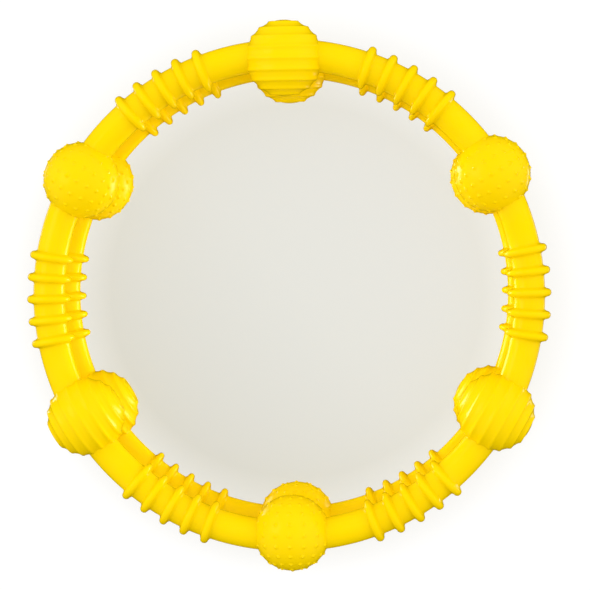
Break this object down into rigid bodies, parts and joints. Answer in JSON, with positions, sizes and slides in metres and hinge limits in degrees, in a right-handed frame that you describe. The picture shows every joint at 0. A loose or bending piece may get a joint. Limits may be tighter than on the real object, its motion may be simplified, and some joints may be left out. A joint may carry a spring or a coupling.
{
  "type": "juggling ring",
  "caption": "Round twin-hoop juggling ring of ribbed tube sections joined by ridged and nubbed balls, in glossy yellow vinyl.",
  "frame": {"origin": "on the ring's axis, at the height of the lowest ball texture, so the ring lies on z = 0", "axes": "+Z along the ring's axis from the rear hoop to the front hoop, +Y towards ball 1, the top ball in the picture, +X to its right"},
  "size_m": [0.3036, 0.3192, 0.0856],
  "materials": {
    "tube_vinyl": "smooth glossy soft vinyl",
    "ridged_ball_vinyl": "glossy soft vinyl with raised rings",
    "nubbed_ball_vinyl": "glossy soft vinyl with small round nubs",
    "plug_nylon": "natural moulded nylon",
    "peg_nylon": "natural moulded nylon"
  },
  "bodies": {
    "root": {"front_tube_1": "tube_vinyl", "front_tube_2": "tube_vinyl", "front_tube_3": "tube_vinyl", "front_tube_4": "tube_vinyl", "front_tube_5": "tube_vinyl", "front_tube_6": "tube_vinyl", "rear_tube_1": "tube_vinyl", "rear_tube_2": "tube_vinyl", "rear_tube_3": "tube_vinyl", "rear_tube_4": "tube_vinyl", "rear_tube_5": "tube_vinyl", "rear_tube_6": "tube_vinyl", "front_ball_1": "ridged_ball_vinyl", "front_ball_2": "nubbed_ball_vinyl", "front_ball_3": "ridged_ball_vinyl", "front_ball_4": "nubbed_ball_vinyl", "front_ball_5": "ridged_ball_vinyl", "front_ball_6": "nubbed_ball_vinyl", "rear_ball_1": "ridged_ball_vinyl", "rear_ball_2": "nubbed_ball_vinyl", "rear_ball_3": "ridged_ball_vinyl", "rear_ball_4": "nubbed_ball_vinyl", "rear_ball_5": "ridged_ball_vinyl", "rear_ball_6": "nubbed_ball_vinyl", "front_plug_1": "plug_nylon", "front_plug_2": "plug_nylon", "front_plug_3": "plug_nylon", "front_plug_4": "plug_nylon", "front_plug_5": "plug_nylon", "front_plug_6": "plug_nylon", "rear_plug_1": "plug_nylon", "rear_plug_2": "plug_nylon", "rear_plug_3": "plug_nylon", "rear_plug_4": "plug_nylon", "rear_plug_5": "plug_nylon", "rear_plug_6": "plug_nylon", "joining_pegs": "peg_nylon"}
  },
  "joints": []
}
